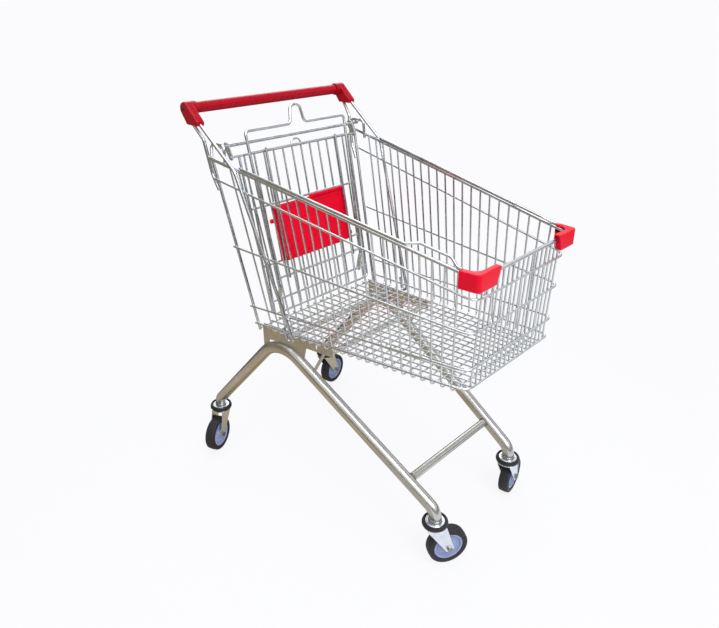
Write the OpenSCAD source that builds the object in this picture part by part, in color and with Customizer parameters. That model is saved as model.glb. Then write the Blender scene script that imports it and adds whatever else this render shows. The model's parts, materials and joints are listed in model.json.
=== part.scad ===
/* [Basket] */
// Distance of the floor's rear edge behind the origin
floor_rear_x = 182; // [160:1:200]
// Height of the floor's rear edge
floor_rear_z = 463; // [450:1:480]
// Half width of the floor at its rear edge
floor_rear_half = 215; // [205:1:225]
// Distance of the floor's front edge before the origin
floor_front_x = 405; // [390:1:410]
// Rise of the floor's front edge above its rear edge
floor_rise = 35; // [27:1:47]
// Distance of the rim's rear ends behind the origin
rim_rear_x = 282; // [270:1:295]
// Height of the rim's rear ends above the floor's rear edge
rear_depth = 419; // [407:1:432]
// Half width between the rim's rear ends
rim_rear_half = 240; // [232:1:248]
// Distance of the rim's front before the origin
rim_front_x = 413.7; // [408:0.1:418]
// Height of the rim's front above the floor's front edge
front_depth = 262; // [252:1:272]
// Half width of the rim at the front
rim_front_half = 168; // [163:1:175]
// Bend radius of the rim and bands at the front corners
corner_r = 24; // [18:1:28]
// Share of the wall height at the rear of each band, from the top band down
band_rear_share = [0.885, 0.501, 0.143, 0.036]; // [0.03:0.001:0.9]
// Share of the wall height at the front of each band, from the top band down
band_front_share = [0.824, 0.549, 0.236, 0.061]; // [0.05:0.001:0.9]

/* [Wires] */
// Diameter of the mesh wires
mesh_d = 4; // [3.5:0.1:4.5]
// Diameter of the bands round the basket
band_d = 5; // [4.5:0.1:6]
// Diameter of the rim wire
rim_d = 8; // [7:0.5:9]
// Diameter of the rails that lie on the rim
rail_d = 6; // [5:0.5:7]
// Diameter of the rear posts
post_d = 7; // [6:0.5:8]
// Diameter of the handle stays
stay_d = 8; // [7:0.5:9]
// Number of wires in each side wall
side_wires = 22; // [18:1:26]
// Number of wires on each side of the middle wire at the front
front_wires_half = 8; // [6:1:8]
// Spacing of the wires at the front
front_pitch = 18; // [16:0.5:18]
// Spacing of the floor's long wires at the rear
rear_pitch = 24.5; // [22:0.5:25]
// Radius of the bend from a wall wire into the floor
foot_bend_r = 10; // [8:0.5:11]
// Straight end of a wall wire on the floor
foot_end = 6; // [5:0.5:8]
// Depth that welded wires sink into each other
weld_sink = 0.2; // [0.1:0.05:0.3]
// Distance before the origin at which the rails leave the rim
rail_step_x = 262; // [250:1:275]
// Length of the slopes where the rails step inwards and back
rail_slope = 22; // [20:1:26]
// Length of the rails between the last slope and the bumpers
rail_tail = 9; // [7:0.5:12]
// Bend radius of the rails
rail_bend_r = 12; // [10:1:13]
// Rise of the rails above their seat on the rim where they step inwards
rail_lift = 6; // [4:0.5:8]
// Distance by which the rails step inwards before the bumpers
rail_in = 14; // [12:0.5:16]
// Distance behind the origin at which the front stays cross the rim
stay_knee_x = 192; // [185:1:200]
// Room between the front stays' bends and the rim
knee_room = 0.3; // [0.2:0.1:1]
// Distance of the front stays' lower ends behind the origin
stay_foot_x = 54; // [48:1:60]
// Width of the hooks at the front stays' lower ends
hook_w = 18; // [16:0.5:20]
// Length of those hooks
hook_l = 36; // [30:1:42]
// Straight between the two bends of a hook
hook_flat = 3; // [2:0.5:4]
// Bend radius of the stays
stay_bend_r = 16; // [12:1:18]
// Height of the rear stays' upper bends above the rim's rear ends
shoulder_rise = 38; // [34:1:42]
// Drop of the rear stays' lower bends below the rim's rear ends
elbow_drop = 40; // [36:1:44]
// Drop of the rear stays' lower ends below the rim's rear ends
stay_end_drop = 76; // [70:1:84]
// Gaps between a post and its rear stay at the upper and the lower bend
stay_post_gap = [6, 9]; // [5:0.5:12]

/* [Legs] */
// Distance of the rear swivel axes behind the origin
rear_caster_x = 399; // [390:1:410]
// Half distance between the rear swivel axes
rear_caster_half = 216; // [208:1:224]
// Distance of the front swivel axes before the origin
front_caster_x = 352; // [345:1:360]
// Half distance between the front swivel axes
front_caster_half = 157; // [150:1:164]
// Distance of the top of the leg bend behind the origin
apex_x = 134; // [128:1:140]
// Drop below the floor's rear edge of the point where the lines of the two limbs meet
apex_drop = 18; // [15:1:25]
// Centre line radius of the leg bend
apex_r = 95; // [88:1:100]
// Centre line radius of the bends above the casters
foot_r = 40; // [34:1:42]
// Rise of the lower bend points above the foot plates
rear_foot_rise = 18; // [17:0.5:24]
// Rise of the front bend point above the foot plate
front_foot_rise = 27; // [26:0.5:32]
// Depth of the oval leg tube in the plane of the leg
leg_depth = 30; // [28:0.5:32]
// Width of the oval leg tube
leg_width = 26; // [24:0.5:28]
// Flat on the narrow sides of the oval leg tube
oval_flat = 2; // [1:0.5:4]
// Wall of the leg tube
leg_wall = 2; // [1.5:0.1:2.5]
// Distance of the front cross tube before the origin
cross_x = 273; // [240:1:300]
// Diameter of the front cross tube
cross_d = 20; // [16:0.5:22]
// Diameter of the tubes under the basket
under_d = 14; // [12:0.5:15]
// Places of the tubes under the basket along the cart
under_x = [-105, 40]; // [-110:1:44]
// Drop of the tubes under the basket below the floor wires
under_gap = 5; // [4:0.5:7]
// Thickness of the side plates
plate_t = 3; // [2:0.1:4]
// Distance of the side plates' rear edge behind the origin
plate_rear_x = 187; // [182:1:190]
// Distance of the side plates' front edge before the origin
plate_front_x = 50; // [49:1:62]
// Length of the side plates' rear tab
tab_l = 19; // [15:1:24]
// Drop of that tab below the corner of the leg
tab_drop = 47; // [44:1:50]
// Drops below the corner of the leg of the two ends of the arch over the bend
arch_drop = [15, 11]; // [5:1:18]
// Reach of the arch before the corner of the leg
arch_l = 4; // [2:1:8]
// Start and end of the plates' foot before the corner of the leg
plate_foot = [14, 86]; // [12:1:92]
// Drop of that foot below the corner of the leg
plate_foot_drop = 37; // [34:1:40]
// Slant of the foot's front edge
plate_chin = 10; // [8:1:15]
// Depth of the plates' front arm below the floor, at its root and at its end
arm_depth = [26, 21]; // [20:1:30]
// Size of the slot in that arm
arm_slot = [5, 12]; // [4:0.5:14]
// Distance of the slot before the foot
slot_gap = 42; // [36:1:46]
// Depth of the slot's lower end below the floor
slot_drop = 18; // [16:0.5:19]
// Diameter of the brace struts
brace_d = 8; // [6:0.5:9]
// Foot of a brace strut, along the cart and up from the corner of the leg
brace_foot = [118, -57]; // [-60:1:122]
// Head of a brace strut, along the cart and up from the corner of the leg
brace_head = [156, 12]; // [10:1:158]

/* [Casters] */
// Diameter of the wheels
wheel_d = 100; // [96:1:104]
// Width of the tyres
tyre_w = 28; // [24:1:30]
// Diameter of the hubs inside the tyres
hub_d = 72; // [66:1:76]
// Distance of the axles behind their swivel axes
trail = 34; // [30:0.5:36]
// Diameter of the axle bolts
axle_d = 8; // [6:0.5:10]
// Wall of the bosses round the axles
boss_wall = 7; // [5:0.5:8]
// Diameter of the kingpins
kingpin_d = 12; // [10:0.5:14]
// Height of the kingpins' nuts
nut_h = 5; // [4:0.5:6]
// Thickness of the fork plates
fork_t = 3; // [2.5:0.1:3.5]
// Gap between a fork plate and the tyre
fork_gap = 1.5; // [1:0.1:2]
// Diameter of the fork's top disc
fork_disc_d = 56; // [54:1:58]
// Width of a fork plate at the disc
fork_root = 48; // [40:1:50]
// Room between the tyre's top and the fork's top disc
fork_room = 17; // [14:0.5:20]
// Diameter of the black collars
collar_d = 62; // [58:1:64]
// Height of the black collars
collar_h = 14; // [12:1:18]
// Height of a collar's edge above its foot plate
collar_edge = 2; // [1:0.5:3]
// Diameter of the foot plates, which lie in the collars
foot_d = 48; // [44:1:50]
// Thickness of the foot plates
foot_t = 4; // [3:0.5:5]
// Gap under the collars that lets the forks turn
swivel_gap = 0.4; // [0.3:0.05:0.6]
// Radial clearance of pins that turn in holes
run_clear = 0.05; // [0.03:0.01:0.09]
// Resting swivel angles of the front right, front left, rear right and rear left casters
caster_angle = [60, 100, -66, 99]; // [-180:1:180]

/* [Rear flap] */
// Diameter of the hinge rod
rod_d = 8; // [7:0.5:9]
// Distance of the hinge rod behind the origin
rod_x = 268; // [264:0.5:271]
// Height of the post loops above the rim's rear ends
loop_rise = 30; // [26:0.5:34]
// Length of the post loops
loop_l = 48; // [44:1:56]
// Lean of the post loops towards the middle
loop_in = 9; // [8:0.5:12]
// Forward lean of the front ends of the post loops
loop_lean = 3; // [2:0.5:5]
// Bend radius of the post loops
loop_r = 9; // [7:0.5:10]
// Distance of the flap's top bar before the hinge rod
ear_x = 15; // [13:0.5:18]
// Distance of the flap's top bar below the hinge rod
ear_z = 24; // [22:0.5:28]
// Thickness of the hinge ears
ear_t = 3; // [2:0.1:4]
// Distance of the hinge ears inside the rim's rear ends
ear_in = 35; // [30:1:40]
// Walls of a hinge ear round the rod and round the flap's top bar
ear_wall = [5, 4]; // [3:0.5:6]
// Ends of the flap's top bar beyond the ears
bar_past = 2; // [1:0.5:4]
// Backward lean of the flap
flap_lean = 11.7; // [10:0.1:13]
// Height of the flap's foot above the floor's rear edge
flap_lift = 26; // [24:0.5:31]
// Distance of the flap's upper corners inside the rim's rear ends
flap_in = 57; // [52:1:62]
// Half width of the flap at its bottom
flap_foot_half = 176; // [172:1:178]
// Diameter of the flap's frame and cross wires
flap_d = 6; // [5:0.5:7]
// Bend radius of the flap's frame
flap_bend_r = 12; // [9:0.5:14]
// Diameter of the flap's uprights
upright_d = 4.5; // [4:0.1:5]
// Ends of the flap's uprights beyond the wires that carry them
upright_past = 2; // [1:0.5:4]
// Distance of the outermost upright inside the flap's half width at its top
upright_in = 18; // [16:0.5:20]
// Uprights on each side of the flap's middle
uprights_half = 6; // [5:1:6]
// Rise of the eye that joins the two middle uprights above the flap's top bar
eye_rise = 15; // [15:0.5:20]
// Bend radius of that eye
eye_r = 12; // [9:0.5:12.5]
// Uprights on each side that the leg holes cut short, counted from the middle
cut_uprights = [2, 4]; // [2:1:6]
// Drop of the top of the leg holes below the flap's top bar
hole_top = 128; // [120:1:140]
// Rise of the seat plate's hinge wire above the flap's foot
plate_rise = 128; // [122:1:138]
// Rise of the seat back's pivot wire above the flap's foot
pivot_rise = 34; // [28:1:40]

/* [Child seat] */
// Diameter of the seat back's frame wire
seat_d = 7; // [6:0.5:8]
// Rise of the seat back's foot above its pivot wire
link_rise = 36; // [32:1:40]
// Walls of a seat back link round the pivot wire and round the frame
link_wall = [4.5, 2.5]; // [2:0.5:6]
// Diameter of the seat back's inner wires
seat_wire_d = 6; // [4:0.5:6.5]
// Distance of the seat back before the flap
seat_gap = 14; // [13:0.5:18]
// Half width of the seat back at its top
seat_top_half = 163; // [156:1:170]
// Half width of the seat back at its bottom
seat_foot_half = 150; // [144:1:156]
// Rise of the seat back's top bar above the flap's top bar
seat_rise = 52; // [46:1:56]
// Height of the pull loop above the seat back's top bar
pull_h = 45; // [40:1:50]
// Half width of the pull loop
pull_half = 15; // [14.5:0.5:20]
// Extra half width at the foot of the pull loop
pull_flare = 8; // [5:0.5:12]
// Bend radius at the top of the pull loop
pull_r = 16; // [12:0.5:17]
// Bend radius at the foot of the pull loop
pull_foot_r = 13; // [9:0.5:14]
// Bend radius of the seat back's wire
seat_bend_r = 9; // [7:0.5:10]
// Rise of the seat back's lower cross wire above its foot
low_wire_rise = 20; // [16:1:26]
// Rise of the seat back's upper cross wire above the flap's top bar
seat_high = 2; // [-10:1:8]
// Ends of the seat back's inner uprights beyond the cross wires
wire_over = 6; // [4:0.5:8]
// Half distance between the seat back's inner uprights
seat_wire_half = 116; // [108:1:118]
// Half width of the seat plate
plate_half = 122; // [120:1:132]
// Length of the seat plate from its hinge wire
plate_l = 139; // [128:1:141]
// Thickness of the seat plate
seat_plate_t = 5; // [4:0.5:6]
// Gap between the seat plate and the wires behind it
plate_gap = 0.6; // [0.4:0.1:1]
// Height of the raised lip along the plate's free edge
plate_lip = 3; // [2:0.5:4]
// Width of that lip
plate_lip_w = 12; // [8:1:20]
// Reach of the seat plate below its hinge wire's axis
plate_tail = 2; // [1:0.1:2.3]
// Corner radius of the seat plate
plate_r = 6; // [4:0.5:12]
// Width of the seat plate's hinge lugs
lug_w = 24; // [18:0.5:24.5]
// Wall of the hinge lugs round the wire
lug_wall = 3; // [2:0.1:3.5]

/* [Handle] */
// Distance of the handle behind the origin
handle_x = 348; // [335:1:352]
// Height of the handle above the rim's rear ends
handle_rise = 103; // [88:1:118]
// Outer diameter of the grip
grip_d = 25; // [23:0.5:27]
// Diameter of the steel tube in the grip
tube_d = 20; // [17:0.5:21]
// Wall of that tube
tube_wall = 1.5; // [1:0.1:2]
// Distance of the grip's ends inside the outer faces of the handle ends
grip_in = 32; // [28:1:36]
// Reach of the tube beyond the grip at each end
tube_past = 18; // [14:1:22]
// Reach of the handle ends' outer faces beyond the rim's rear end, on each side
handle_out = 18; // [15:0.5:22]
// Outer diameter of a handle end round the tube
end_d = 31; // [29:0.5:33]
// Step between the sleeve of a handle end and its flat foot
end_step = 0.5; // [0.4:0.1:1]
// Thickness of the flat foot of a handle end
end_t = 21; // [18:0.5:24]
// Forward reach of a handle end's foot from the handle
end_reach = 27; // [22:1:32]
// Drop of a handle end's foot below the handle
end_drop = 28; // [24:1:32]
// Length of that foot along the cart
end_l = 45; // [42:1:52]
// Height of that foot
end_h = 12; // [8:1:16]

/* [Bumpers] */
// Depth of the bumpers
bumper_t = 14; // [12:0.5:16]
// Height of the bumpers
bumper_h = 36; // [34:1:40]
// Length of a bumper along the side
bumper_side = 45; // [43:1:50]
// Length of a bumper along the front
bumper_front = 72; // [66:1:78]
// Outer radius of the bumpers' corners
bumper_round = 10; // [6:1:14]
// Drop of the bumpers' middle below the rim
bumper_drop = 5; // [3:0.5:7]
// Slant of the bumpers' ends at the front
bumper_slant = 12; // [6:1:16]
// Room above the rim in a bumper's seat
seat_room = 4.5; // [4:0.5:6]
// Distance behind the rim's corner bends at which the bumpers open upwards for the rails
pocket_back = 2; // [1:0.5:4]
// Width of that opening outside the rim
pocket_out = 4; // [3:0.5:5]
// Gap between a bumper and the mesh wires
bumper_gap = 0.3; // [0.1:0.05:0.5]

/* [Hidden] */
$fn = 48;

// Heights of the floor's front, the rim, the leg's corner and the handle
floor_front_z = floor_rear_z + floor_rise;
rim_rear_z = floor_rear_z + rear_depth;
rim_front_z = floor_front_z + front_depth;
apex_z = floor_rear_z - apex_drop;
handle_z = rim_rear_z + handle_rise;

// The left wall is flat: its half width shrinks by wall_taper forwards and grows by wall_flare upwards
wall_l = rim_rear_x + rim_front_x;
wall_h = rear_depth;
rim_fall = rim_rear_z - rim_front_z;
rear_lean = rim_rear_x - floor_rear_x;
wall_det = wall_l * wall_h - rim_fall * rear_lean;
narrowing = rim_rear_half - rim_front_half;
widening = rim_rear_half - floor_rear_half;
wall_taper = (narrowing * wall_h - rim_fall * widening) / wall_det;
wall_flare = (wall_l * widening - rear_lean * narrowing) / wall_det;
function wall_y(x, z) = rim_rear_half - wall_taper * (x + rim_rear_x) + wall_flare * (z - rim_rear_z);
wall_slope = [wall_taper, 1, -wall_flare];
wall_out = wall_slope / norm(wall_slope);

// Corners of the left wall, from which both walls, the front and the floor follow
floor_rear = [-floor_rear_x, floor_rear_half, floor_rear_z];
floor_front = [floor_front_x, wall_y(floor_front_x, floor_front_z), floor_front_z];
rim_rear = [-rim_rear_x, rim_rear_half, rim_rear_z];
rim_front = [rim_front_x, rim_front_half, rim_front_z];
front_lean = (rim_front_x - floor_front_x) / (rim_front_z - floor_front_z);
rim_taper = narrowing / wall_l;
rim_slope = rim_fall / wall_l;

// Distances of the wire layers outside the mesh wires' centres
touch = mesh_d / 2 - weld_sink;
band_off = touch + band_d / 2;
rim_off = touch + rim_d / 2;
post_off = touch + weld_sink - post_d / 2;
stay_rim_off = rim_off + (rim_d + stay_d) / 2 + knee_room;
stay_band_off = band_off + (band_d + stay_d) / 2 - weld_sink;

// Overlap of a straight and a bend of one bar, and how much slimmer the bend is
seam = 0.2;
slim = 0.02;

// First and last place of the side wires along the wall, and where the rim and bands begin behind the posts
first_share = 0.085;
last_share = 0.945;
start_share = -0.006;

// Reach of a wall wire onto the floor, and the lift of the long floor wires onto the cross wires
foot_l = foot_bend_r + foot_end;
stack = mesh_d - weld_sink;

// Heights through a caster, from the floor up
wheel_r = wheel_d / 2;
disc_bottom = wheel_d + fork_room;
disc_top = disc_bottom + fork_t;
collar_bottom = disc_top + swivel_gap;
foot_top = collar_bottom + collar_h - collar_edge;
foot_bottom = foot_top - foot_t;
nut_d = kingpin_d * 1.5;
// Length added to a cutter beyond the face it opens
past = 1;

// Swivel axes of the four casters: front right, front left, rear right, rear left
caster_at = [[front_caster_x, -front_caster_half], [front_caster_x, front_caster_half],
  [-rear_caster_x, -rear_caster_half], [-rear_caster_x, rear_caster_half]];

// Plane of the left leg
leg_taper = (rear_caster_half - front_caster_half) / (rear_caster_x + front_caster_x);
leg_yaw = -atan(leg_taper);
rear_knee_z = foot_top + rear_foot_rise;
front_knee_z = foot_top + front_foot_rise;

// Flap and seat places
rod_z = rim_rear_z + loop_rise - (post_d + rod_d) / 2 + weld_sink;
flap_top = [-rod_x + ear_x, 0, rod_z - ear_z];
ear_half = rim_rear_half - ear_in;
flap_top_half = rim_rear_half - flap_in;
upright_pitch = (flap_top_half - upright_in) / (uprights_half - 0.5);
flap_h = (flap_top[2] - floor_rear_z - flap_lift) / cos(flap_lean);
plate_drop = flap_h - plate_rise;
pivot_drop = flap_h - pivot_rise;
plate_back = flap_d / 2 + plate_gap;
lap = (flap_d + upright_d) / 2 - weld_sink;
seat_low = link_rise - pivot_drop + low_wire_rise;

// Handle: half length of its tube, its left end, and where the stays enter that end
handle_half = rim_rear_half + handle_out;
grip_half = handle_half - grip_in;
tube_half = grip_half + tube_past;
handle_at = [-handle_x, handle_half - end_t / 2, handle_z];
foot_at = handle_at + [end_reach, 0, -end_drop];
rear_socket = foot_at - [end_l / 2 - stay_d, 0, 0];
front_socket = foot_at + [end_l / 2 - stay_d, 0, 0];

// Bumper: inner face, seat of the rim in it and the radius of its inner corner
bumper_in = mesh_d / 2 + bumper_gap;
seat_depth = rim_off + rim_d / 2 + 2 * bumper_gap;
bumper_r = corner_r - rim_off;
bumper_out = bumper_in + bumper_t;
bumper_rear = rim_front_x + bumper_out - bumper_side;

function mix(a, b, t) = a + (b - a) * t;
function unit(v) = v / norm(v);
function dir(a, b) = unit(b - a);
function turn(u, w) = acos(max(-1, min(1, u * w)));
function trim(u, w, r) = r * tan(turn(u, w) / 2);
// Bend radius at corner i, from one radius or a list of them
function bend_r(r, i) = is_list(r) ? r[i - 1] : r;
function across(u) = unit(abs(u[2]) < 0.9 ? cross([0, 0, 1], u) : cross([1, 0, 0], u));

// Point of the left wall, s of the way forward and t of the way up
function wall(s, t) = mix(mix(floor_rear, rim_rear, t), mix(floor_front, rim_front, t), s);
// The same point moved outwards by a wire layer
function outside(s, t, off) = wall(s, t) + off * wall_out;
// Corner where a wire layer of the wall meets the same layer of the front
function corner(t, off) = let (x = wall(1, t)[0] + off, z = wall(1, t)[2])
  [x, wall_y(x, z) + off * norm(wall_slope), z];
function mirrored(p) = [p[0], -p[1], p[2]];
// Path of a wire that runs round the basket from one rear end to the other
function loop_path(rear_t, front_t, off, start) = let (
    from = outside(start, mix(rear_t, front_t, start), off),
    front = corner(front_t, off))
  [from, front, mirrored(front), mirrored(from)];
function side_share(i) = mix(first_share, last_share, i / (side_wires - 1));
// Share of the way along the wall at which the rim reaches place x
function rim_share(x) = (x + rim_rear_x) / (rim_front_x + rim_rear_x);
function floor_share(x) = (x + floor_rear_x) / (floor_front_x + floor_rear_x);
function floor_z(x) = mix(floor_rear_z, floor_front_z, floor_share(x));
function leg_y(x) = rear_caster_half - leg_taper * (x + rear_caster_x);
function leg_point(x, z) = [x, leg_y(x), z];
// Points of the left rear and front stays where they bend outside the handle end
function stay_knee() = outside(rim_share(-stay_knee_x), 1, stay_rim_off);
function stay_shoulder() = behind_post(rim_rear_z + shoulder_rise, stay_post_gap[0]);
function behind_post(z, gap) = post_at(z) - [(post_d + stay_d) / 2 + gap, 0, 0];
// Front and rear points of the long floor wire number i, which lies on the cross wires
function long_front(i) = [floor_front_x + stack * front_lean, i * front_pitch, floor_front_z + stack];
function long_rear(i) = [-floor_rear_x - mesh_d, i * rear_pitch, floor_rear_z + stack];
// Point on the left rear post's axis at height z
function post_at(z) = outside(0, (z - floor_rear_z) / (rim_rear_z - floor_rear_z), post_off);
function side_half(drop) = mix(flap_top_half, flap_foot_half, drop / flap_h);
function seat_half(rise) = mix(seat_foot_half, seat_top_half,
  (rise + pivot_drop) / (seat_rise + pivot_drop));

// A frame with its origin and axes given
module place(o, x, y, z) {
  multmatrix([[x[0], y[0], z[0], o[0]], [x[1], y[1], z[1], o[1]], [x[2], y[2], z[2], o[2]], [0, 0, 0, 1]])
    children();
}

// A round bar from a to b
module rod(a, b, d) {
  u = dir(a, b);
  place(a, cross(across(u), u), across(u), u) cylinder(h = norm(b - a), d = d);
}

// A bend at p from direction u into direction w, with the children as its section
module elbow(p, u, w, r) {
  n = unit(w - u * (u * w));
  place(p - u * trim(u, w, r) + n * r, -n, u, cross(-n, u))
    rotate_extrude(angle = turn(u, w)) translate([r, 0]) children();
}

// A bar bent along points: its first child is the section of the straights, its second that of the bends,
// which is a hair slimmer, and the straights run a little way into the bends
module bent(pts, r, normal) {
  last = len(pts) - 1;
  for (i = [0 : last - 1]) {
    u = dir(pts[i], pts[i + 1]);
    n = is_undef(normal) ? across(u) : normal;
    cut_a = i == 0 ? 0 : trim(dir(pts[i - 1], pts[i]), u, bend_r(r, i)) - seam;
    cut_b = i == last - 1 ? 0 : trim(u, dir(pts[i + 1], pts[i + 2]), bend_r(r, i + 1)) - seam;
    place(pts[i] + u * cut_a, cross(n, u), n, u)
      linear_extrude(norm(pts[i + 1] - pts[i]) - cut_a - cut_b) children(0);
  }
  for (i = [1 : last - 1])
    elbow(pts[i], dir(pts[i - 1], pts[i]), dir(pts[i], pts[i + 1]), bend_r(r, i)) children(1);
}

// A round wire bent along points
module wire(pts, d, r) {
  bent(pts, r) {
    circle(d = d);
    circle(d = d - slim);
  }
}

module right() {
  mirror([0, 1, 0]) children();
}

module both() {
  children();
  right() children();
}

// Section of the leg tube
module oval(depth, width) {
  round_d = width - oval_flat;
  translate([-(depth - round_d) / 2, -(width - round_d) / 2]) circle(d = round_d);
  translate([(depth - round_d) / 2, -(width - round_d) / 2]) circle(d = round_d);
  translate([-(depth - round_d) / 2, (width - round_d) / 2]) circle(d = round_d);
  translate([(depth - round_d) / 2, (width - round_d) / 2]) circle(d = round_d);
  square([depth - round_d, width], center = true);
  square([depth, width - round_d], center = true);
}

// The left leg, from the rear foot plate over the bend to the front one
module leg_bar() {
  bent([leg_point(-rear_caster_x, foot_top), leg_point(-rear_caster_x, rear_knee_z),
    leg_point(-apex_x, apex_z), leg_point(front_caster_x, front_knee_z),
    leg_point(front_caster_x, foot_top)], [foot_r, apex_r, foot_r], unit([leg_taper, 1, 0])) {
    children(0);
    children(1);
  }
}

module leg_solid() {
  leg_bar() {
    oval(leg_depth, leg_width);
    oval(leg_depth - slim, leg_width - slim);
  }
}

module oval_ring(depth, width, wall) {
  difference() {
    oval(depth, width);
    oval(depth - 2 * wall, width - 2 * wall);
  }
}

module left_leg() {
  color("silver") leg_bar() {
    oval_ring(leg_depth, leg_width, leg_wall);
    oval_ring(leg_depth - slim, leg_width - slim, leg_wall - slim);
  }
}

module right_leg() {
  right() left_leg();
}

module front_cross_tube() {
  limb_share = (cross_x + apex_x) / (front_caster_x + apex_x);
  at = leg_point(cross_x, mix(apex_z, front_knee_z, limb_share));
  color("silver") difference() {
    rod(mirrored(at), at, cross_d);
    both() leg_solid();
  }
}

module under_bars(d, extra) {
  for (x = under_x) {
    at = leg_point(x, floor_z(x) - mesh_d / 2 - under_gap - under_d / 2) + [0, extra, 0];
    rod(mirrored(at), at, d);
  }
}

module under_tubes() {
  color("silver") difference() {
    under_bars(under_d, 0);
    under_bars(under_d - 2 * tube_wall, 1);
  }
}

// The left plate that stands on the leg bend and carries the floor
module plate_blank() {
  top_rear = floor_z(-plate_rear_x) - mesh_d / 2 + weld_sink / 2;
  top_front = floor_z(plate_front_x) - mesh_d / 2 + weld_sink / 2;
  tab_z = apex_z - tab_drop;
  foot_z = apex_z - plate_foot_drop;
  tab_x = tab_l - plate_rear_x;
  foot_x = plate_foot[1] - apex_x;
  translate([0, leg_y(0), 0]) rotate([90, 0, leg_yaw]) translate([0, 0, -plate_t / 2])
    linear_extrude(plate_t) difference() {
      polygon([[-plate_rear_x, top_rear], [-plate_rear_x, tab_z], [tab_x, tab_z],
        [tab_x, apex_z - arch_drop[0]], [arch_l - apex_x, apex_z - arch_drop[1]],
        [plate_foot[0] - apex_x, foot_z], [foot_x, foot_z], [foot_x + plate_chin, top_front - arm_depth[0]],
        [plate_front_x, top_front - arm_depth[1]], [plate_front_x, top_front]]);
      translate([foot_x + slot_gap, top_front - slot_drop]) square(arm_slot);
    }
}

module left_side_plate() {
  color("tan") difference() {
    plate_blank();
    leg_solid();
    under_bars(under_d, 0);
  }
}

module right_side_plate() {
  right() left_side_plate();
}

module leg_braces() {
  foot = leg_point(brace_foot[0] - apex_x, apex_z + brace_foot[1]);
  head = leg_point(brace_head[0] - apex_x, apex_z + brace_head[1]);
  color("silver") both() difference() {
    rod(foot, head, brace_d);
    leg_solid();
    plate_blank();
  }
}

module foot_plates() {
  color("gainsboro") for (c = caster_at) translate([c[0], c[1], foot_bottom]) difference() {
    cylinder(h = foot_t, d = foot_d);
    translate([0, 0, -past]) cylinder(h = foot_t + 2 * past, d = kingpin_d);
  }
}

module caster_collars() {
  rounding = 4;
  color("dimgray") for (c = caster_at) translate([c[0], c[1], collar_bottom]) rotate_extrude() difference() {
    union() {
      square([collar_d / 2, collar_h - rounding]);
      square([collar_d / 2 - rounding, collar_h]);
      translate([collar_d / 2 - rounding, collar_h - rounding]) circle(r = rounding);
    }
    translate([-past, -past]) square([kingpin_d / 2 + past, collar_h + 2 * past]);
    translate([-past, foot_bottom - collar_bottom]) square([foot_d / 2 + past, collar_h]);
  }
}

module kingpins() {
  low = disc_bottom - swivel_gap - nut_h;
  color("gray") for (c = caster_at) translate([c[0], c[1], low]) {
    cylinder(h = nut_h, d = nut_d);
    cylinder(h = foot_top - low - swivel_gap, d = kingpin_d);
  }
}

module basket_rim() {
  color("lightgray") rim_bar();
}

module rim_bar() {
  wire(loop_path(1, 1, rim_off, start_share), rim_d, corner_r);
}

// A rail on the left half of the rim: it starts before the front stay and lies on the rim, then steps
// inwards and back, and ends against the bumper
module rail_bar() {
  rim = loop_path(1, 1, rim_off, start_share);
  along = dir(rim[0], rim[1]);
  on_top = cross(along, wall_out) * (rim_d + rail_d) / 2;
  step = on_top - rail_in * wall_out + [0, 0, rail_lift];
  back = bumper_rear - rail_tail;
  places = [stay_d - stay_knee_x, rail_step_x, rail_step_x + rail_slope, back - rail_slope, back,
    bumper_rear - bumper_gap];
  at = [for (x = places) rim[0] + along * (x - rim[0][0]) / along[0]];
  wire([at[0] + on_top, at[1] + on_top, at[2] + step, at[3] + step, at[4] + on_top, at[5] + on_top], rail_d,
    rail_bend_r);
}

module rim_rails() {
  color("lightgray") both() rail_bar();
}

module band(i) {
  wire(loop_path(band_rear_share[i], band_front_share[i], band_off, start_share), band_d, corner_r);
}

module upper_band() {
  color("lightgray") band(0);
}

module middle_band() {
  color("lightgray") band(1);
}

module lower_band() {
  color("lightgray") band(2);
}

module bottom_band() {
  color("lightgray") band(3);
}

module left_side_wires() {
  color("gainsboro") for (i = [0 : side_wires - 1]) {
    low = wall(side_share(i), 0);
    wire([wall(side_share(i), 1), low, low - [0, foot_l, 0]], mesh_d, foot_bend_r);
  }
}

module right_side_wires() {
  right() left_side_wires();
}

module floor_cross_wires() {
  rear = [-floor_rear_x, post_at(floor_rear_z)[1] - post_d / 2 + weld_sink, floor_rear_z];
  color("gainsboro") {
    rod(mirrored(rear), rear, mesh_d);
    for (i = [0 : side_wires - 1]) {
      at = wall(side_share(i), 0) - [0, foot_l, 0];
      rod(mirrored(at), at, mesh_d);
    }
  }
}

module front_wires() {
  color("gainsboro") for (i = [-front_wires_half : front_wires_half]) {
    low = long_front(i);
    back = dir(low, long_rear(i));
    top = [rim_front_x, low[1], rim_front_z];
    wire([top, low, low + back * foot_l], mesh_d, foot_bend_r);
  }
}

module floor_long_wires() {
  color("gainsboro") for (i = [-front_wires_half : front_wires_half]) {
    back = dir(long_front(i), long_rear(i));
    rod(long_front(i) + back * foot_l, long_rear(i), mesh_d);
  }
}

// The left rear post, with a loop over the rim's rear end
module post_bar() {
  up = post_at(rim_rear_z + loop_rise) - [0, loop_in, 0];
  down_x = up[0] + loop_l + loop_lean;
  wire([post_at(floor_rear_z - mesh_d), post_at(rim_rear_z), up, up + [loop_l, 0, 0],
    outside(rim_share(down_x), 1, post_off) - [0, 0, rim_d]], post_d, [2 * loop_r, loop_r, loop_r]);
}

module left_rear_post() {
  color("gainsboro") post_bar();
}

module right_rear_post() {
  right() left_rear_post();
}

module hinge_rod() {
  at = [-rod_x, post_at(rim_rear_z + loop_rise)[1] - loop_in + post_d / 2, rod_z];
  color("gainsboro") rod(mirrored(at), at, rod_d);
}

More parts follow.
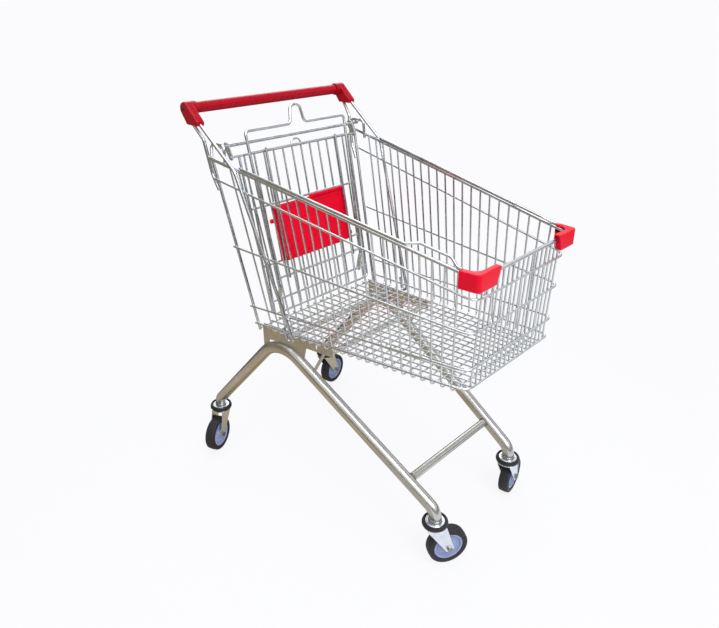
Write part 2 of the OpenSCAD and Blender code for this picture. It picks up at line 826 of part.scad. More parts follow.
module front_stay_bar() {
  foot = outside(floor_share(-stay_foot_x), 0, stay_band_off);
  lean = dir(stay_knee(), foot);
  back = unit(cross(wall_out, lean));
  hook_r = (hook_w - hook_flat) / 2;
  wire([front_socket, stay_knee(), foot, foot + back * hook_w, foot + back * hook_w - lean * hook_l], stay_d,
    [stay_bend_r, hook_r, hook_r]);
}

module left_front_stay() {
  color("gainsboro") front_stay_bar();
}

module right_front_stay() {
  right() left_front_stay();
}

module rear_stay_bar() {
  wire([rear_socket, stay_shoulder(), behind_post(rim_rear_z - elbow_drop, stay_post_gap[1]),
    behind_post(rim_rear_z - stay_end_drop, 0)], stay_d, stay_bend_r);
}

module left_rear_stay() {
  color("gainsboro") rear_stay_bar();
}

module right_rear_stay() {
  right() left_rear_stay();
}

module handle_tube() {
  color("silver") translate([-handle_x, tube_half, handle_z]) rotate([90, 0, 0]) difference() {
    cylinder(h = 2 * tube_half, d = tube_d);
    translate([0, 0, -past]) cylinder(h = 2 * (tube_half + past), d = tube_d - 2 * tube_wall);
  }
}

module handle_grip() {
  color("crimson") translate([-handle_x, grip_half, handle_z]) rotate([90, 0, 0]) difference() {
    cylinder(h = 2 * grip_half, d = grip_d);
    translate([0, 0, -past]) cylinder(h = 2 * (grip_half + past), d = tube_d);
  }
}

module left_handle_end() {
  color("crimson") difference() {
    translate([-handle_x, handle_half, handle_z]) rotate([90, 0, 0]) {
      cylinder(h = handle_half - grip_half, d = end_d);
      linear_extrude(end_t) hull() {
        circle(d = end_d - 2 * end_step, $fn = 32);
        translate([end_reach - end_l / 2, -end_drop - end_h / 2]) square([end_l, end_h]);
      }
    }
    translate([-handle_x, tube_half, handle_z]) rotate([90, 0, 0]) cylinder(h = tube_half, d = tube_d);
    rod(front_socket, stay_knee(), stay_d);
    rod(rear_socket, stay_shoulder(), stay_d);
  }
}

module right_handle_end() {
  right() left_handle_end();
}

// Corner where the left wall meets the front at the rim's height, moved outwards from the mesh
function mesh_corner(off) = [rim_front_x + off, rim_front_half + off * (norm([rim_taper, 1]) - rim_taper)];

// Plan of a band round the left front corner, from offset a to offset b outside the mesh, with the outer
// corner rounded by r, and ends at place rear along the cart and at place mid across it
module corner_plan(a, b, r, rear, mid) {
  steps = 12;
  last = 90 - atan(rim_taper);
  ray = [for (i = [0 : steps]) [cos(last * i / steps), sin(last * i / steps)]];
  outer = [for (i = [0 : steps]) mesh_corner(b - r) + r * ray[i]];
  inner = [for (i = [0 : steps]) mesh_corner(-bumper_r) + (bumper_r + a) * ray[steps - i]];
  outer_end = outer[steps] + [rear - outer[steps][0], (outer[steps][0] - rear) * rim_taper];
  inner_end = inner[0] + [rear - inner[0][0], (inner[0][0] - rear) * rim_taper];
  polygon(concat([[outer[0][0], mid]], outer, [outer_end, inner_end], inner, [[inner[steps][0], mid]]));
}

// The left bumper: a corner with two wings, hooked over the rim from outside
module left_bumper() {
  low = rim_front_z - bumper_drop - bumper_h / 2;
  mid = mesh_corner(bumper_out)[1] - bumper_front;
  open_x = rim_front_x - corner_r - pocket_back;
  open_y = rim_front_half + seat_depth + pocket_out;
  color("crimson") difference() {
    translate([0, 0, low]) linear_extrude(bumper_h)
      corner_plan(bumper_in, bumper_out, bumper_round, bumper_rear, mid);
    translate([0, 0, rim_front_z - rim_d / 2]) linear_extrude(rim_d + seat_room)
      corner_plan(bumper_in - past, seat_depth, bumper_r + seat_depth, bumper_rear - past, mid - past);
    translate([open_x, open_y, rim_front_z + rim_slope * corner_r - rim_d / 2])
      rotate([0, atan(rim_slope), -atan(rim_taper)]) translate([-bumper_side, -corner_r, 0])
        cube([bumper_side, corner_r, bumper_h]);
    translate([rim_front_x, mid + bumper_slant, low]) rotate([atan(bumper_slant / bumper_h), 0, 0])
      translate([-bumper_t, -bumper_front, -bumper_h]) cube([3 * bumper_t, bumper_front, 3 * bumper_h]);
  }
}

module right_bumper() {
  right() left_bumper();
}

// Frame of the flap: its top bar on Y, Z up along the flap, X towards the basket's front
module on_flap() {
  translate(flap_top) rotate([0, -flap_lean, 0]) children();
}

module flap_top_bar() {
  half = ear_half + ear_t / 2 + bar_past;
  color("gainsboro") on_flap() rod([0, -half, 0], [0, half, 0], flap_d);
}

module flap_frame() {
  start = flap_d / 2 - weld_sink;
  color("gainsboro") on_flap() wire([[0, -flap_top_half, -start], [0, -flap_foot_half, -flap_h],
    [0, flap_foot_half, -flap_h], [0, flap_top_half, -start]], flap_d, flap_bend_r);
}

module flap_cross_wires() {
  color("gainsboro") on_flap() for (drop = [hole_top, plate_drop, pivot_drop]) {
    half = side_half(drop) - flap_d / 2 + weld_sink;
    rod([0, -half, -drop], [0, half, -drop], flap_d);
  }
}

module upright(y, from, to) {
  rod([-lap, y, -from], [-lap, y, -to], upright_d);
}

module flap_uprights() {
  mid = upright_pitch / 2;
  low = -flap_h - upright_past;
  color("gainsboro") on_flap() {
    wire([[-lap, -mid, low], [-lap, -mid, eye_rise], [-lap, mid, eye_rise], [-lap, mid, low]],
      upright_d, eye_r);
    for (i = [2 : uprights_half]) for (side = [-1, 1]) {
      y = side * (i - 0.5) * upright_pitch;
      if (i >= cut_uprights[0] && i <= cut_uprights[1]) {
        upright(y, -upright_past, hole_top + upright_past);
        upright(y, plate_drop - upright_past, flap_h + upright_past);
      } else {
        upright(y, -upright_past, flap_h + upright_past);
      }
    }
  }
}

// A flat link in the XZ plane, round at both ends, with a hole at its first end
module link(a, b, ra, rb, hole, t) {
  rotate([90, 0, 0]) translate([0, 0, -t / 2]) difference() {
    linear_extrude(t) hull() {
      translate(a) circle(r = ra, $fn = 32);
      translate(b) circle(r = rb, $fn = 32);
    }
    translate([a[0], a[1], -past]) cylinder(h = t + 2 * past, d = hole);
  }
}

module flap_ears() {
  head_r = rod_d / 2 + ear_wall[0];
  foot_r = flap_d / 2 + ear_wall[1];
  color("silver") difference() {
    for (side = [-1, 1]) translate([flap_top[0], side * ear_half, flap_top[2]])
      link([-ear_x, ear_z], [0, 0], head_r, foot_r, rod_d + 2 * run_clear, ear_t);
    translate(flap_top) rotate([90, 0, 0]) cylinder(h = 4 * ear_half, d = flap_d, center = true);
  }
}

module seat_back_frame() {
  low = link_rise - pivot_drop - seat_d / 2;
  color("gainsboro") on_flap() wire([[seat_gap, -seat_half(low), low], [seat_gap, -seat_top_half, seat_rise],
    [seat_gap, -pull_half - pull_flare, seat_rise], [seat_gap, -pull_half, seat_rise + pull_h],
    [seat_gap, pull_half, seat_rise + pull_h], [seat_gap, pull_half + pull_flare, seat_rise],
    [seat_gap, seat_top_half, seat_rise], [seat_gap, seat_half(low), low]], seat_d,
    [seat_bend_r, pull_foot_r, pull_r, pull_r, pull_foot_r, seat_bend_r]);
}

module seat_back_cross_wires() {
  color("gainsboro") on_flap() for (rise = [seat_low, seat_high]) {
    half = seat_half(rise) - seat_d / 2 + weld_sink;
    rod([seat_gap, -half, rise], [seat_gap, half, rise], seat_wire_d);
  }
}

module seat_back_uprights() {
  front = seat_gap + seat_wire_d - weld_sink;
  color("gainsboro") on_flap() for (side = [-1, 1])
    rod([front, side * seat_wire_half, seat_low - wire_over],
      [front, side * seat_wire_half, seat_high + wire_over], seat_wire_d);
}

module seat_back_links() {
  half = seat_half(link_rise - pivot_drop) - (seat_d + ear_t) / 2 + weld_sink / 4;
  foot_r = flap_d / 2 + link_wall[0];
  head_r = seat_d / 2 + link_wall[1];
  color("gray") on_flap() for (side = [-1, 1]) translate([0, side * half, -pivot_drop])
    link([0, 0], [seat_gap, link_rise], foot_r, head_r, flap_d + 2 * run_clear, ear_t);
}

module seat_plate() {
  lug_r = flap_d / 2 + run_clear + lug_wall;
  color("crimson") on_flap() translate([0, 0, -plate_drop]) difference() {
    union() {
      translate([plate_back, 0, 0]) rotate([90, 0, 90]) linear_extrude(seat_plate_t)
        plate_outline(-plate_tail);
      translate([plate_back, 0, 0]) rotate([90, 0, 90]) linear_extrude(seat_plate_t + plate_lip)
        intersection() {
          plate_outline(-plate_tail);
          translate([-plate_half, plate_l - plate_lip_w]) square([2 * plate_half, plate_lip_w]);
        }
      for (i = [-3 : 3]) translate([0, i * upright_pitch + lug_w / 2, 0]) rotate([90, 0, 0])
        cylinder(h = lug_w, r = lug_r);
    }
    translate([0, plate_half, 0]) rotate([90, 0, 0]) cylinder(h = 2 * plate_half, d = flap_d + 2 * run_clear);
  }
}

module plate_outline(low) {
  translate([-plate_half + plate_r, low]) square([2 * (plate_half - plate_r), plate_l - low]);
  translate([-plate_half, low + plate_r]) square([2 * plate_half, plate_l - low - 2 * plate_r]);
  for (side = [-1, 1]) for (h = [low + plate_r, plate_l - plate_r])
    translate([side * (plate_half - plate_r), h]) circle(r = plate_r);
}

// Places a caster piece at swivel axis i, turned to its resting angle
module caster(i) {
  translate([caster_at[i][0], caster_at[i][1], 0]) rotate([0, 0, caster_angle[i]]) children();
}

module fork() {
  inner = tyre_w / 2 + fork_gap;
  boss_r = axle_d / 2 + boss_wall;
  color("gainsboro") difference() {
    union() {
      translate([0, 0, disc_bottom]) cylinder(h = fork_t, d = fork_disc_d);
      for (y = [-inner, inner + fork_t])
        translate([0, y, 0]) rotate([90, 0, 0]) linear_extrude(fork_t) hull() {
          translate([trail, wheel_r]) circle(r = boss_r, $fn = 32);
          translate([-fork_root / 2, disc_bottom]) square([fork_root, fork_t / 2]);
        }
    }
    translate([0, 0, disc_bottom - past]) cylinder(h = fork_t + 2 * past, d = kingpin_d + 2 * run_clear);
    translate([trail, wheel_d, wheel_r]) rotate([90, 0, 0]) cylinder(h = 2 * wheel_d, d = axle_d);
  }
}

module axle() {
  half = tyre_w / 2 + fork_gap + fork_t;
  head = 5;
  head_wall = 6;
  color("gray") translate([trail, 0, wheel_r]) rotate([90, 0, 0]) {
    translate([0, 0, -half - head]) cylinder(h = 2 * (half + head), d = axle_d);
    for (z = [-half - head, half]) translate([0, 0, z]) cylinder(h = head, d = axle_d + head_wall, $fn = 6);
  }
}

module wheel_turn() {
  translate([trail, 0, wheel_r]) rotate([90, 0, 0]) rotate_extrude($fn = 96) children();
}

module hub() {
  boss_r = axle_d / 2 + boss_wall;
  boss_w = tyre_w + 2 * fork_gap - 1;
  rim_t = 6;
  rim_w = tyre_w - 6;
  web = 8;
  color("lightsteelblue") wheel_turn() difference() {
    union() {
      translate([0, -boss_w / 2]) square([boss_r, boss_w]);
      translate([0, -web / 2]) square([hub_d / 2, web]);
      translate([hub_d / 2 - rim_t, -rim_w / 2]) square([rim_t, rim_w]);
    }
    translate([-past, -tyre_w]) square([axle_d / 2 + run_clear + past, 2 * tyre_w]);
  }
}

module tyre() {
  shoulder = 7;
  color("darkslategray") wheel_turn() difference() {
    union() {
      translate([hub_d / 2, -tyre_w / 2]) square([wheel_r - shoulder - hub_d / 2, tyre_w]);
      translate([hub_d / 2, -tyre_w / 2 + shoulder]) square([wheel_r - hub_d / 2, tyre_w - 2 * shoulder]);
      for (side = [-1, 1])
        translate([wheel_r - shoulder, side * (tyre_w / 2 - shoulder)]) circle(r = shoulder);
    }
    translate([0, -tyre_w]) square([hub_d / 2, 2 * tyre_w]);
  }
}

module front_right_fork() { caster(0) fork(); }
module front_right_axle() { caster(0) axle(); }
module front_right_hub() { caster(0) hub(); }
module front_right_tyre() { caster(0) tyre(); }
module front_left_fork() { caster(1) fork(); }
module front_left_axle() { caster(1) axle(); }
module front_left_hub() { caster(1) hub(); }
module front_left_tyre() { caster(1) tyre(); }
module rear_right_fork() { caster(2) fork(); }
module rear_right_axle() { caster(2) axle(); }
module rear_right_hub() { caster(2) hub(); }
module rear_right_tyre() { caster(2) tyre(); }
module rear_left_fork() { caster(3) fork(); }
module rear_left_axle() { caster(3) axle(); }
module rear_left_hub() { caster(3) hub(); }
module rear_left_tyre() { caster(3) tyre(); }

right_leg();
left_leg();
front_cross_tube();
under_tubes();
right_side_plate();
left_side_plate();
leg_braces();
foot_plates();
caster_collars();
kingpins();
basket_rim();
rim_rails();
upper_band();
middle_band();
lower_band();
bottom_band();
right_side_wires();
left_side_wires();
front_wires();
floor_long_wires();
floor_cross_wires();
right_rear_post();
left_rear_post();
hinge_rod();
right_front_stay();
left_front_stay();
right_rear_stay();
left_rear_stay();
handle_tube();
handle_grip();
right_handle_end();
left_handle_end();
right_bumper();
left_bumper();
flap_top_bar();
flap_frame();
flap_uprights();
flap_cross_wires();
flap_ears();
seat_back_frame();
seat_back_cross_wires();
seat_back_uprights();
seat_back_links();
seat_plate();
front_right_fork();
front_right_axle();
front_right_hub();
front_right_tyre();
front_left_fork();
front_left_axle();
front_left_hub();
front_left_tyre();
rear_right_fork();
rear_right_axle();
rear_right_hub();
rear_right_tyre();
rear_left_fork();
rear_left_axle();
rear_left_hub();
rear_left_tyre();
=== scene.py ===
"""Shopping cart: plated wire, moulded plastic and rubber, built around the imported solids."""

import json
import math

import bpy
import numpy as np
from mathutils import Matrix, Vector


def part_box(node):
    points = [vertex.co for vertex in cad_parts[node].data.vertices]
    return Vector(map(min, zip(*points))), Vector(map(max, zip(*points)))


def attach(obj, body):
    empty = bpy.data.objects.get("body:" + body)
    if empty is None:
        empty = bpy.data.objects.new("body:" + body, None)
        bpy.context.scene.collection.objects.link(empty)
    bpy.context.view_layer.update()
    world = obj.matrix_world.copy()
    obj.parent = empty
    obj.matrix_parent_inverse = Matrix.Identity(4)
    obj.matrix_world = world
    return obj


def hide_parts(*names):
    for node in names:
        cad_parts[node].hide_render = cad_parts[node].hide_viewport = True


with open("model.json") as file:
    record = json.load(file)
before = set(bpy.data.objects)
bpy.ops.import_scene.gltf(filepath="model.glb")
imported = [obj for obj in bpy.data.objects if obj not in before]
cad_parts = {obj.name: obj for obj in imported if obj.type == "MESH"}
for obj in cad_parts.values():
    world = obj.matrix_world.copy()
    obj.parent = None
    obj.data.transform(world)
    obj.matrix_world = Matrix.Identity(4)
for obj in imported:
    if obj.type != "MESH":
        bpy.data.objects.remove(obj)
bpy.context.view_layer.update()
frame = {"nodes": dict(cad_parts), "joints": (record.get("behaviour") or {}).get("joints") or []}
NODES = frame["nodes"]
JOINTS = {joint["name"]: joint for joint in frame["joints"]}
CORNERS = ("front_right", "front_left", "rear_right", "rear_left")
SIDES = (("right", -1), ("left", 1))
X, Y, Z = np.eye(3)

bl_info = {
    "name": "Shopping cart",
    "version": (1, 0, 0),
    "blender": (4, 5, 0),
    "location": "View3D > Sidebar > Cart",
    "description": "Dresses a shopping cart in plated wire, moulded plastic and rubber",
    "category": "Object",
}


def linear(code):
    """Linear colour of an sRGB hex code: c / 12.92 below 0.04045, else ((c + 0.055) / 1.055) ** 2.4."""
    c = np.array([int(code[i : i + 2], 16) for i in (1, 3, 5)]) / 255
    return tuple(np.where(c <= 0.04045, c / 12.92, ((c + 0.055) / 1.055) ** 2.4).tolist())


def length(label, about, metres):
    """A size in metres that a user may change."""
    return bpy.props.FloatProperty(name=label, description=about, default=metres, unit="LENGTH", precision=4)


def colour(label, about, code):
    """A colour that a user may change, given as an sRGB hex code."""
    return bpy.props.FloatVectorProperty(
        name=label, description=about, default=linear(code), subtype="COLOR", min=0, max=1
    )


class CartSizes(bpy.types.PropertyGroup):
    """Sizes of the moulded and pressed pieces."""

    grip_edge: length("Grip edge", "Rounding at the grip's ends", 0.002)
    end_thickness: length("Handle end", "Thickness of a handle end's foot", 0.021)
    end_length: length("Handle end length", "Length of that foot along the cart", 0.045)
    end_reach: length("Handle end reach", "Forward reach of that foot from the handle", 0.027)
    end_drop: length("Handle end drop", "Drop of that foot below the handle", 0.028)
    bumper_depth: length("Bumper depth", "Depth of a bumper outside the wires", 0.014)
    bumper_edge: length("Bumper edge", "Rounding of a bumper's edges", 0.0022)
    bumper_round: length("Bumper corner", "Rounding of a bumper's corner as seen from above", 0.010)
    bumper_side: length("Bumper side", "Length of a bumper along the side", 0.045)
    bumper_front: length("Bumper front", "Length of a bumper along the front", 0.072)
    bumper_slant: length("Bumper slant", "Slant of a bumper's end at the front", 0.012)
    plate_thickness: length("Seat plate", "Thickness of the seat plate", 0.005)
    plate_edge: length("Seat plate edge", "Rounding of the seat plate's edges", 0.0016)
    tyre_crown: length("Tyre crown", "Rounding of a tyre's shoulders", 0.009)
    fork_thickness: length("Fork sheet", "Thickness of a fork's sheet steel", 0.003)
    weld_bead: length("Weld bead", "Radius of a weld bead", 0.0019)


class CartColours(bpy.types.PropertyGroup):
    """Colours of the finishes."""

    wire: colour("Wire", "Bright zinc on the wires", "#D6DADF")
    tube: colour("Tube", "Zinc and lacquer on the tubes", "#CCCBC7")
    sheet: colour("Sheet", "Zinc on the side plates", "#CFCBC2")
    pressed: colour("Pressed steel", "Zinc on the forks", "#E6ECF4")
    red: colour("Red plastic", "Bumpers and seat plate", "#DC0026")
    handle: colour("Handle", "Grip and handle ends", "#A3001A")
    collar: colour("Collar", "Buffers above the casters", "#1C1C21")
    hub: colour("Hub", "Wheel centres", "#939DC4")
    tyre: colour("Tyre", "Treads", "#211F26")


def sizes():
    """The sizes as the user has set them."""
    return bpy.context.scene.cart_sizes


def colours():
    """The colours as the user has set them."""
    return bpy.context.scene.cart_colours


def box(node):
    """Lowest and highest corners of a CAD node at rest."""
    return tuple(np.array(corner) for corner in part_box(node))


def shell(points, loop_u=False):
    """Closed surface over a grid of points[u, v]. Round v it always closes on itself; along u it closes
    too where loop_u says so, and otherwise each end gets one flat face. Where the volume that it encloses,
    a sixth of the sum of a . (b x c) over its triangles, comes out negative, the faces are turned round."""
    nu, nv = points.shape[:2]
    index = np.arange(nu * nv).reshape(nu, nv)
    rows = np.vstack([index, index[:1]]) if loop_u else index
    grid = np.hstack([rows, rows[:, :1]])
    quads = np.stack([grid[:-1, :-1], grid[1:, :-1], grid[1:, 1:], grid[:-1, 1:]], -1).reshape(-1, 4)
    ends = [] if loop_u else [index[0], index[-1][::-1]]
    verts = points.reshape(-1, 3)
    fans = [np.stack([np.full(nv - 2, e[0]), e[1:-1], e[2:]], -1) for e in ends]
    tris = np.vstack([quads[:, [0, 1, 2]], quads[:, [0, 2, 3]], *fans])
    a, b, c = verts[tris[:, 0]], verts[tris[:, 1]], verts[tris[:, 2]]
    if np.einsum("ij,ij->", a, np.cross(b, c)) < 0:
        quads, ends = quads[:, ::-1], [e[::-1] for e in ends]
    return verts, quads, ends


def piece(name, shells, finish, body, slot, *stands_for):
    """One object made of several closed shells, riding on a body and standing for CAD nodes."""
    faces, smooth, start = [], [], 0
    for verts, quads, ends in shells:
        faces += (quads + start).tolist() + [(e + start).tolist() for e in ends]
        smooth += [True] * len(quads) + [False] * len(ends)
        start += len(verts)
    mesh = bpy.data.meshes.new(name)
    mesh.from_pydata(np.vstack([s[0] for s in shells]), [], faces)
    mesh.polygons.foreach_set("use_smooth", smooth)
    mesh.materials.append(finish)
    mesh.update()
    obj = bpy.data.objects.new(name, mesh)
    bpy.context.scene.collection.objects.link(obj)
    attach(obj, body)
    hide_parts(*stands_for)
    return obj


def fillet(corners, cut, steps=6):
    """A closed outline with its corners rounded. A corner c between its neighbours becomes the curve
    (1-t)^2 a + 2t(1-t) c + t^2 b, where a and b lie on the two edges at distance cut from c, and at most
    just under half an edge away."""
    c = np.asarray(corners, float)
    to_last, to_next = np.roll(c, 1, 0) - c, np.roll(c, -1, 0) - c
    edge_last, edge_next = np.linalg.norm(to_last, axis=1), np.linalg.norm(to_next, axis=1)
    cut = np.minimum(np.broadcast_to(cut, len(c)), 0.49 * np.minimum(edge_last, edge_next))
    a = (c + to_last * (cut / edge_last)[:, None])[:, None]
    b = (c + to_next * (cut / edge_next)[:, None])[:, None]
    t = np.linspace(0, 1, steps)[None, :, None]
    return ((1 - t) ** 2 * a + 2 * t * (1 - t) * c[:, None] + t**2 * b).reshape(-1, 2)


def hull_outline(discs, steps=72):
    """Outline of the rubber band round discs (x, y, r): in direction n it lies at centre + r n of the disc
    with the largest centre . n + r."""
    d = np.asarray(discs, float)
    angle = np.linspace(0, 2 * math.pi, steps, endpoint=False)
    n = np.stack([np.cos(angle), np.sin(angle)], -1)
    best = np.argmax(d[:, :2] @ n.T + d[:, 2:], axis=0)
    return d[best, :2] + d[best, 2:] * n


def turned(profile, origin, axis, steps=96):
    """A closed profile of (radius, height) spun round an axis: origin + r (e cos a + f sin a) + h axis."""
    axis = np.asarray(axis, float) / np.linalg.norm(axis)
    e = np.cross(axis, X if abs(axis[0]) < 0.9 else Y)
    e /= np.linalg.norm(e)
    angle = np.linspace(0, 2 * math.pi, steps, endpoint=False)[:, None, None]
    ray = np.cos(angle) * e + np.sin(angle) * np.cross(axis, e)
    p = np.asarray(profile, float)[None]
    return shell(np.asarray(origin, float) + p[..., :1] * ray + p[..., 1:] * axis, loop_u=True)


def normals(outline):
    """Outward unit normals of a closed outline, square to the line between each point's neighbours."""
    slope = np.roll(outline, -1, 0) - np.roll(outline, 1, 0)
    area = np.sum(outline[:, 0] * np.roll(outline[:, 1], -1) - outline[:, 1] * np.roll(outline[:, 0], -1))
    n = np.stack([slope[:, 1], -slope[:, 0]], -1) * np.sign(area)
    return n / np.maximum(np.linalg.norm(n, axis=1, keepdims=True), 1e-12)


def slab(outline, low, high, edge, origin, along, up, out):
    """A plate with rounded edges: the outline moved inwards by edge (1 - sin q) at depth edge (1 - cos q)
    below each face, with q from 0 at the face to a quarter turn at the side."""
    o = np.asarray(outline, float)
    normal = normals(o)
    q = np.linspace(0, math.pi / 2, 6)
    inset = np.concatenate([edge * (1 - np.sin(q)), (edge * (1 - np.sin(q)))[::-1]])
    depth = edge * (1 - np.cos(q))
    height = np.concatenate([low + depth, (high - depth)[::-1]])
    flat = o[None] - inset[:, None, None] * normal[None]
    return shell(
        np.asarray(origin, float)
        + flat[..., :1] * np.asarray(along)
        + flat[..., 1:] * np.asarray(up)
        + height[:, None, None] * np.asarray(out)
    )


def bar(profile_r, start, stop, sides=40):
    """A round bar from start to stop whose radius at share t of the way is profile_r(t)."""
    start, stop = np.asarray(start, float), np.asarray(stop, float)
    axis = (stop - start) / np.linalg.norm(stop - start)
    e = np.cross(axis, X if abs(axis[0]) < 0.9 else Y)
    e /= np.linalg.norm(e)
    t = np.concatenate([np.linspace(0, 0.02, 8), np.linspace(0.025, 0.975, 60), np.linspace(0.98, 1, 8)])
    angle = np.linspace(0, 2 * math.pi, sides, endpoint=False)[None, :, None]
    ray = np.cos(angle) * e + np.sin(angle) * np.cross(axis, e)
    return shell(start + t[:, None, None] * (stop - start) + profile_r(t)[:, None, None] * ray)


def bead(centre, along, across, half_along, half_across, lift):
    """A weld bead round an oval: a small circle carried along it, whose radius swells and shrinks by an
    eighth like the ripples of a weld."""
    angle = np.linspace(0, 2 * math.pi, 96, endpoint=False)[:, None, None]
    ripple = sizes().weld_bead * (1 + 0.13 * np.sin(18 * angle))
    ray = np.cos(angle) * np.asarray(along) + np.sin(angle) * np.asarray(across)
    oval = half_along * np.cos(angle) * np.asarray(along) + half_across * np.sin(angle) * np.asarray(across)
    turn = np.linspace(0, 2 * math.pi, 12, endpoint=False)[None, :, None]
    ring = oval + ripple * (np.cos(turn) * ray + np.sin(turn) * np.asarray(lift))
    return shell(np.asarray(centre, float) + ring, loop_u=True)


def add(tree, kind, sockets=None, **settings):
    """Adds a node with its settings; a socket given another socket is linked to it, else set to the value."""
    made = tree.nodes.new(kind)
    for name, value in settings.items():
        setattr(made, name, value)
    for name, value in (sockets or {}).items():
        if isinstance(value, bpy.types.NodeSocket):
            tree.links.new(value, made.inputs[name])
        else:
            made.inputs[name].default_value = value
    return made


def per_mm(millimetres):
    """Texture scale at which one feature spans that many millimetres."""
    return 1000 / millimetres


def coat(name, base, worn, patch_mm, rough, grain_mm, grain_um, **shader):
    """A finish with three things that the eye reads: patches where the colour drifts from base towards
    worn, a gloss that drifts between two roughnesses, and a fine grain in relief. Returns the material, its
    Object coordinates and its colour ramp, on which a finish may build."""
    material = bpy.data.materials.new(name)
    material.use_nodes = True
    tree = material.node_tree
    bsdf = tree.nodes["Principled BSDF"]
    for socket, value in shader.items():
        bsdf.inputs[socket.replace("_", " ")].default_value = value
    place = add(tree, "ShaderNodeTexCoord").outputs["Object"]
    patch = add(tree, "ShaderNodeTexNoise", {"Vector": place, "Scale": per_mm(patch_mm), "Detail": 4.0})
    ramp = add(tree, "ShaderNodeValToRGB", {"Fac": patch.outputs["Fac"]})
    ramp.color_ramp.elements[0].position, ramp.color_ramp.elements[0].color = 0.35, (*base, 1)
    ramp.color_ramp.elements[1].position, ramp.color_ramp.elements[1].color = 0.75, (*worn, 1)
    tree.links.new(ramp.outputs["Color"], bsdf.inputs["Base Color"])
    smear = add(tree, "ShaderNodeTexNoise", {"Vector": place, "Scale": per_mm(patch_mm / 3), "Detail": 5.0})
    spread = {"From Min": 0.3, "From Max": 0.7, "To Min": rough[0], "To Max": rough[1]}
    gloss = add(tree, "ShaderNodeMapRange", {"Value": smear.outputs["Fac"], **spread})
    tree.links.new(gloss.outputs["Result"], bsdf.inputs["Roughness"])
    grain = add(tree, "ShaderNodeTexNoise", {"Vector": place, "Scale": per_mm(grain_mm), "Detail": 2.0})
    depth = {"Strength": 1.0, "Distance": grain_um * 1e-6}
    relief = add(tree, "ShaderNodeBump", {"Height": grain.outputs["Fac"], **depth})
    tree.links.new(relief.outputs["Normal"], bsdf.inputs["Normal"])
    return material, place, ramp


def shade(base, factor, tint=(1, 1, 1)):
    """A colour made darker or lighter and tinted."""
    return tuple(min(1.0, b * factor * t) for b, t in zip(base, tint))


def zinc_wire():
    """Bright zinc plating over drawn steel wire: near mirror gloss, softened by the bath's fine orange peel,
    with faintly yellow passivated patches some centimetres long."""
    base = tuple(colours().wire)
    worn = shade(base, 0.82, (1.0, 0.985, 0.94))
    skin = dict(patch_mm=38, rough=(0.14, 0.28), grain_mm=1.6, grain_um=2)
    return coat("bright_zinc_wire", base, worn, **skin, Metallic=1.0)[0]


def zinc_tube():
    """Zinc plated and clear lacquered tube: a broad soft gloss with dull handling marks some centimetres
    long, under a thin clear coat. Its grain is too fine to see, so it is drawn 1.2 mm across."""
    base = tuple(colours().tube)
    worn = shade(base, 0.84, (1.0, 0.98, 0.93))
    skin = dict(patch_mm=55, rough=(0.25, 0.38), grain_mm=1.2, grain_um=0.5)
    lacquer = dict(Coat_Weight=0.25, Coat_Roughness=0.12)
    return coat("lacquered_zinc_tube", base, worn, **skin, Metallic=1.0, **lacquer)[0]


def zinc_sheet():
    """Zinc plated sheet: duller than the tube, with the flaky spangle of crystals about 7 mm across that
    each catch the light a little differently."""
    base = tuple(colours().sheet)
    skin = dict(patch_mm=30, rough=(0.30, 0.45), grain_mm=1.2, grain_um=3)
    material, place, ramp = coat("spangled_zinc_sheet", base, shade(base, 0.86), **skin, Metallic=1.0)
    tree = material.node_tree
    flake = add(tree, "ShaderNodeTexVoronoi", {"Vector": place, "Scale": per_mm(7)})
    tone = add(tree, "ShaderNodeMapRange", {"Value": flake.outputs["Color"], "To Min": 0.86, "To Max": 1.06})
    mixed = add(
        tree,
        "ShaderNodeMix",
        {0: 1.0, 6: ramp.outputs["Color"], 7: tone.outputs["Result"]},
        data_type="RGBA",
        blend_type="MULTIPLY",
    )
    tree.links.new(mixed.outputs[2], tree.nodes["Principled BSDF"].inputs["Base Color"])
    return material


def pressed_zinc():
    """Pressed sheet steel with bright zinc: satin where the die drew it, with a pale blue passivated tint."""
    base = tuple(colours().pressed)
    worn = shade(base, 0.86, (0.97, 0.98, 1.0))
    skin = dict(patch_mm=18, rough=(0.20, 0.36), grain_mm=0.9, grain_um=2.5)
    return coat("pressed_zinc_steel", base, worn, **skin, Metallic=1.0)[0]


def bolt_steel():
    """Zinc plated bolt and rivet heads: a darker, rougher grey with smudges a few millimetres across."""
    base = linear("#9A9A9C")
    skin = dict(patch_mm=6, rough=(0.28, 0.45), grain_mm=0.6, grain_um=10)
    return coat("zinc_bolt_steel", base, shade(base, 0.7), **skin, Metallic=1.0)[0]


def weld_metal():
    """Weld beads: dull grey with brown heat tint in spots of about 5 mm, rough from spatter."""
    skin = dict(patch_mm=5, rough=(0.35, 0.55), grain_mm=0.9, grain_um=30)
    return coat("weld_metal", linear("#8D8A84"), linear("#6F6152"), **skin, Metallic=1.0)[0]


def red_abs():
    """Moulded glossy ABS: an even saturated red with the die's faint orange peel, and hazy scuffs where
    trolleys rub."""
    base = tuple(colours().red)
    skin = dict(patch_mm=45, rough=(0.24, 0.40), grain_mm=1.4, grain_um=2.5)
    return coat("red_abs", base, shade(base, 0.92), **skin, Specular_IOR_Level=0.15)[0]


def handle_pvc():
    """Extruded PVC of the handle: a deeper red with a hand-polished sheen and faint worn bands."""
    base = tuple(colours().handle)
    skin = dict(patch_mm=60, rough=(0.20, 0.36), grain_mm=1.1, grain_um=2.5)
    return coat("handle_red_pvc", base, shade(base, 0.88), **skin, Specular_IOR_Level=0.2)[0]


